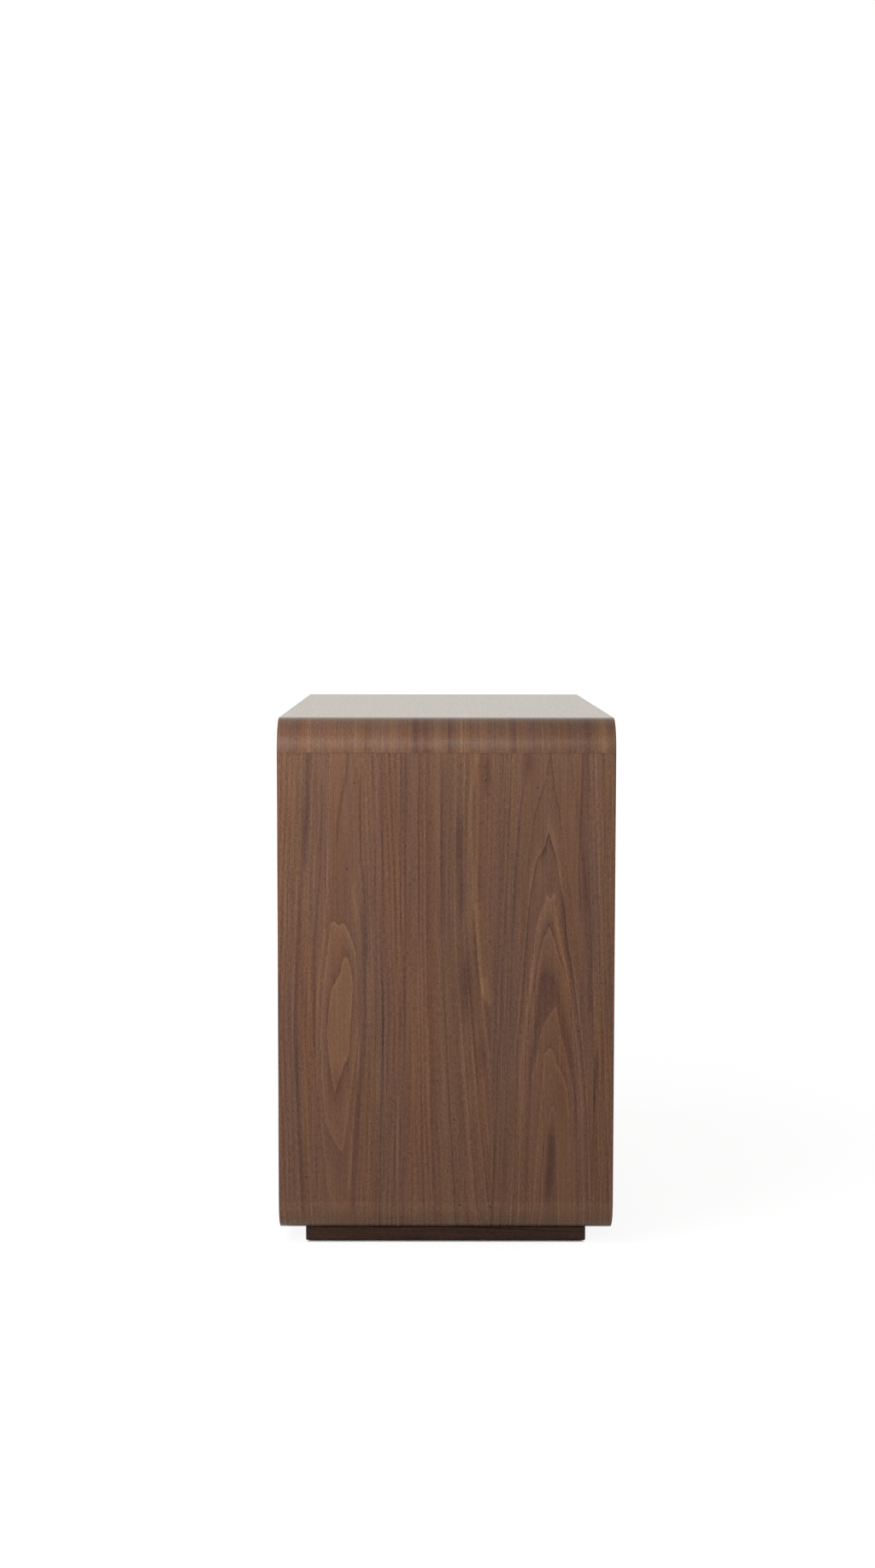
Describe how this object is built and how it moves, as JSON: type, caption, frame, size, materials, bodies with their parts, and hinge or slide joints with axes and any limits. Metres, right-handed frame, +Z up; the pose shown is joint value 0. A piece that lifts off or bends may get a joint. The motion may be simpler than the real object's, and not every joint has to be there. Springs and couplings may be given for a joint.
{
  "type": "chest of drawers",
  "caption": "Low walnut-veneered chest of drawers with a bent waterfall case, inset handle-less drawer fronts on telescopic runners, and a recessed plinth.",
  "frame": {"origin": "on the floor, under the middle of the dresser's outer box", "axes": "+X to the right-hand end seen from the front, +Y to the back, +Z up; the front faces -Y"},
  "size_m": [0.92, 0.495, 0.787],
  "materials": {
    "walnut_veneer": "satin lacquer",
    "plinth_walnut": "satin lacquer",
    "birch_ply": "clear matt",
    "zinc_steel": "zinc plated",
    "glide_nylon": "moulded"
  },
  "bodies": {
    "case": {"case_top": "walnut_veneer", "end_panel_left": "walnut_veneer", "end_panel_right": "walnut_veneer", "case_bottom": "walnut_veneer", "back_panel": "walnut_veneer", "top_rail": "walnut_veneer", "divider_rail_under_middle": "walnut_veneer", "divider_rail_under_upper": "walnut_veneer", "top_seam_tongue_left": "birch_ply", "top_seam_tongue_right": "birch_ply", "bottom_seam_tongue_left": "birch_ply", "bottom_seam_tongue_right": "birch_ply", "plinth_front": "plinth_walnut", "plinth_back": "plinth_walnut", "plinth_end_left": "plinth_walnut", "plinth_end_right": "plinth_walnut", "plinth_block_front_left": "birch_ply", "plinth_block_front_right": "birch_ply", "plinth_block_back_left": "birch_ply", "plinth_block_back_right": "birch_ply", "glide_front_left": "glide_nylon", "glide_front_right": "glide_nylon", "glide_back_left": "glide_nylon", "glide_back_right": "glide_nylon", "lower_case_runner_left": "zinc_steel", "lower_case_runner_right": "zinc_steel", "middle_case_runner_left": "zinc_steel", "middle_case_runner_right": "zinc_steel", "upper_case_runner_left": "zinc_steel", "upper_case_runner_right": "zinc_steel"},
    "lower_drawer": {"lower_drawer_front": "walnut_veneer", "lower_drawer_subfront": "birch_ply", "lower_drawer_back": "birch_ply", "lower_drawer_side_left": "birch_ply", "lower_drawer_side_right": "birch_ply", "lower_drawer_bottom": "birch_ply", "lower_drawer_runner_left": "zinc_steel", "lower_drawer_runner_right": "zinc_steel"},
    "lower_link_runners": {"lower_link_runner_left": "zinc_steel", "lower_link_runner_right": "zinc_steel"},
    "middle_drawer": {"middle_drawer_front": "walnut_veneer", "middle_drawer_subfront": "birch_ply", "middle_drawer_back": "birch_ply", "middle_drawer_side_left": "birch_ply", "middle_drawer_side_right": "birch_ply", "middle_drawer_bottom": "birch_ply", "middle_drawer_runner_left": "zinc_steel", "middle_drawer_runner_right": "zinc_steel"},
    "middle_link_runners": {"middle_link_runner_left": "zinc_steel", "middle_link_runner_right": "zinc_steel"},
    "upper_drawer": {"upper_drawer_front": "walnut_veneer", "upper_drawer_subfront": "birch_ply", "upper_drawer_back": "birch_ply", "upper_drawer_side_left": "birch_ply", "upper_drawer_side_right": "birch_ply", "upper_drawer_bottom": "birch_ply", "upper_drawer_runner_left": "zinc_steel", "upper_drawer_runner_right": "zinc_steel"},
    "upper_link_runners": {"upper_link_runner_left": "zinc_steel", "upper_link_runner_right": "zinc_steel"}
  },
  "joints": [
    {"name": "lower_drawer_slide", "type": "slide", "parent": "case", "child": "lower_drawer", "axis": [0, -1, 0], "range_m": [0, 0.42]},
    {"name": "lower_link_slide", "type": "slide", "parent": "case", "child": "lower_link_runners", "axis": [0, -1, 0], "range_m": [0, 0.21]},
    {"name": "middle_drawer_slide", "type": "slide", "parent": "case", "child": "middle_drawer", "axis": [0, -1, 0], "range_m": [0, 0.42]},
    {"name": "middle_link_slide", "type": "slide", "parent": "case", "child": "middle_link_runners", "axis": [0, -1, 0], "range_m": [0, 0.21]},
    {"name": "upper_drawer_slide", "type": "slide", "parent": "case", "child": "upper_drawer", "axis": [0, -1, 0], "range_m": [0, 0.42]},
    {"name": "upper_link_slide", "type": "slide", "parent": "case", "child": "upper_link_runners", "axis": [0, -1, 0], "range_m": [0, 0.21]}
  ],
  "couplings": [
    {"joint": "lower_link_slide", "follows": "lower_drawer_slide", "ratio": 0.5},
    {"joint": "middle_link_slide", "follows": "middle_drawer_slide", "ratio": 0.5},
    {"joint": "upper_link_slide", "follows": "upper_drawer_slide", "ratio": 0.5}
  ]
}
